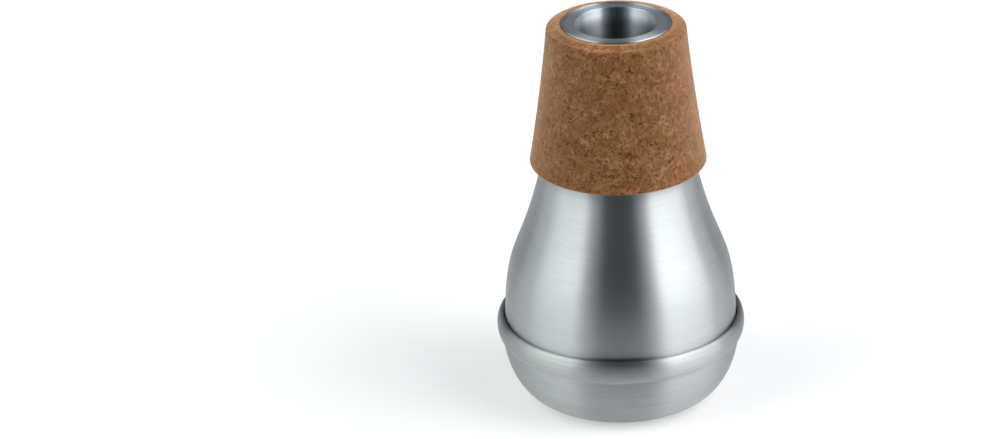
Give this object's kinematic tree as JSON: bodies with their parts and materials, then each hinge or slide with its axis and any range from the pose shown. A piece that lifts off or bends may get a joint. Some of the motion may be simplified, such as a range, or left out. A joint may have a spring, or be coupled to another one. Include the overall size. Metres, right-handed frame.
{
  "type": "brass instrument practice mute",
  "caption": "Pear-shaped spun-aluminium practice mute with a tapered cork sleeve that seals in a brass instrument's bell and a vent tube through its dished end.",
  "frame": {"origin": "centre of the ring that the mute stands on, under its axis", "axes": "+Z along the axis from the dished end to the open mouth with the cork"},
  "size_m": [0.062, 0.062, 0.0988],
  "materials": {
    "body_aluminium": "spun and finely brushed round the axis, satin",
    "cap_aluminium": "spun and finely brushed round the axis, satin",
    "tube_aluminium": "drawn tube with a turned end",
    "cork": "fine agglomerated cork, sanded, bare",
    "adhesive": "dried contact adhesive",
    "sealing_compound": "dark sealing compound, matt"
  },
  "bodies": {
    "root": {"body_shell": "body_aluminium", "throat_tube": "tube_aluminium", "end_cap": "cap_aluminium", "vent_tube": "tube_aluminium", "tube_seal": "sealing_compound", "seam_seal": "sealing_compound", "cork_bond_film": "adhesive", "cork_sleeve": "cork"}
  },
  "joints": []
}
